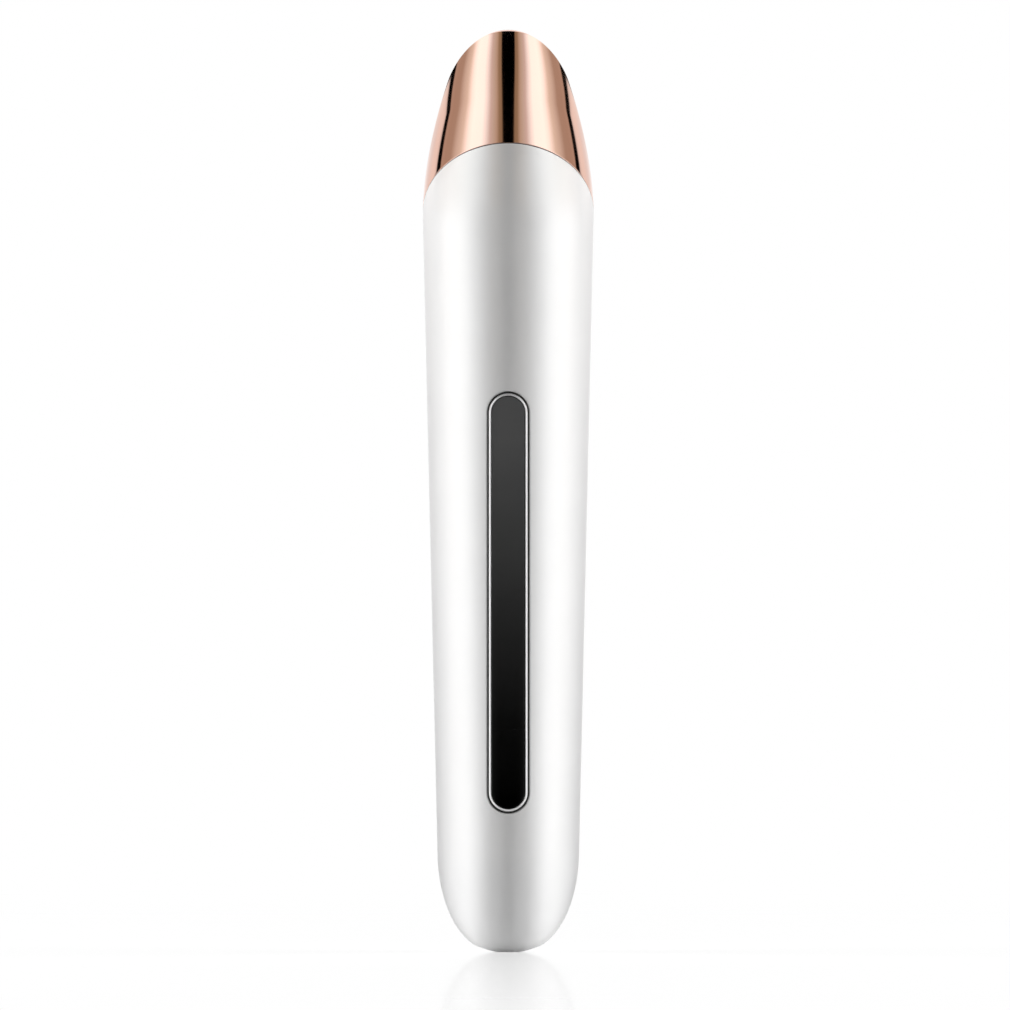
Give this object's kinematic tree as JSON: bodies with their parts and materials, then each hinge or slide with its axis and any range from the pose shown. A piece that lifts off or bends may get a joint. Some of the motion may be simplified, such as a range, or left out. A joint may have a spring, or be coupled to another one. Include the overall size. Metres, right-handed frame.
{
  "type": "heated eye massager wand",
  "caption": "Tapered hand-held wand with an obliquely cut metal head, a flat warm vibrating face, a long press strip and a charging socket in its rounded foot.",
  "frame": {"origin": "lowest point of the rounded foot, on the wand's long axis", "axes": "+Z along the wand from foot to tip, -Y out of the control strip, +X to the right when the strip faces the viewer"},
  "size_m": [0.0252, 0.0252, 0.136],
  "materials": {
    "white_lacquer": "satin white lacquer",
    "rose_gold": "polished, rose-gold plated",
    "rose_gold_face": "polished, rose-gold plated",
    "dark_rubber": "matt",
    "bright_chrome": "bright",
    "smoked_gloss": "high gloss, smoked",
    "black_plastic": "moulded",
    "clear_plastic": "frosted",
    "grey_plastic": "moulded",
    "amber_film": "polyimide film",
    "grey_foam": "soft pad",
    "board_green": "solder mask",
    "led_body": "moulded",
    "ferrite": "moulded ferrite",
    "capacitor_tan": "moulded",
    "steel": "plated",
    "nickel": "nickel plated",
    "bronze": "sintered",
    "heavy_alloy": "sintered, grey",
    "cell_wrap": "shrink wrapped",
    "wire_red": "insulation",
    "wire_black": "insulation"
  },
  "bodies": {
    "casing": {"grip_body": "white_lacquer", "head_shell": "rose_gold", "contact_plate": "rose_gold_face", "seam_gasket": "dark_rubber", "sealing_ring": "dark_rubber", "plate_seal": "dark_rubber", "stop_pad_lower": "dark_rubber", "stop_pad_upper": "dark_rubber", "motor_boot": "dark_rubber", "strip_frame": "bright_chrome", "bar_tray": "black_plastic", "temperature_sensor": "black_plastic", "plate_retainer": "black_plastic", "socket_tongue": "black_plastic", "controller_chip": "black_plastic", "charger_chip": "black_plastic", "light_guide": "clear_plastic", "motor_cap": "clear_plastic", "chassis": "grey_plastic", "heater_film": "amber_film", "heater_pad": "grey_foam", "cell_foam": "grey_foam", "main_board": "board_green", "charge_board": "board_green", "status_led_1": "led_body", "status_led_2": "led_body", "status_led_3": "led_body", "inductor": "ferrite", "capacitor": "capacitor_tan", "switch_body": "steel", "board_screw": "steel", "head_screw_front": "steel", "head_screw_rear": "steel", "plate_screw_1": "steel", "plate_screw_2": "steel", "plate_screw_3": "steel", "motor_can": "steel", "socket_shell": "nickel", "cell_tab_upper": "nickel", "cell_tab_lower": "nickel", "motor_terminal_left": "nickel", "motor_terminal_right": "nickel", "motor_bearing": "bronze", "cell": "cell_wrap", "heater_lead_left": "wire_red", "motor_lead_left": "wire_red", "charge_lead_left": "wire_red", "heater_lead_right": "wire_black", "motor_lead_right": "wire_black", "charge_lead_right": "wire_black"},
    "press_key": {"press_bar": "smoked_gloss"},
    "switch_key": {"switch_plunger": "black_plastic"},
    "rotor": {"motor_shaft": "steel", "eccentric_weight": "heavy_alloy"}
  },
  "joints": [
    {"name": "press_bar_travel", "type": "slide", "parent": "casing", "child": "press_key", "axis": [0, 0.9997, 0.023], "range_m": [0, 0.0003], "stiffness_N_per_m": 1500, "springref_m": -0.0004},
    {"name": "switch_plunger_travel", "type": "slide", "parent": "casing", "child": "switch_key", "axis": [0, 1, 0], "range_m": [0, 0.0003]},
    {"name": "rotor_spin", "type": "hinge", "parent": "casing", "child": "rotor", "pos_m": [0, 0, 0.101], "axis": [0, 0, 1], "continuous": true}
  ],
  "couplings": [
    {"joint": "switch_plunger_travel", "follows": "press_bar_travel", "ratio": 1}
  ]
}
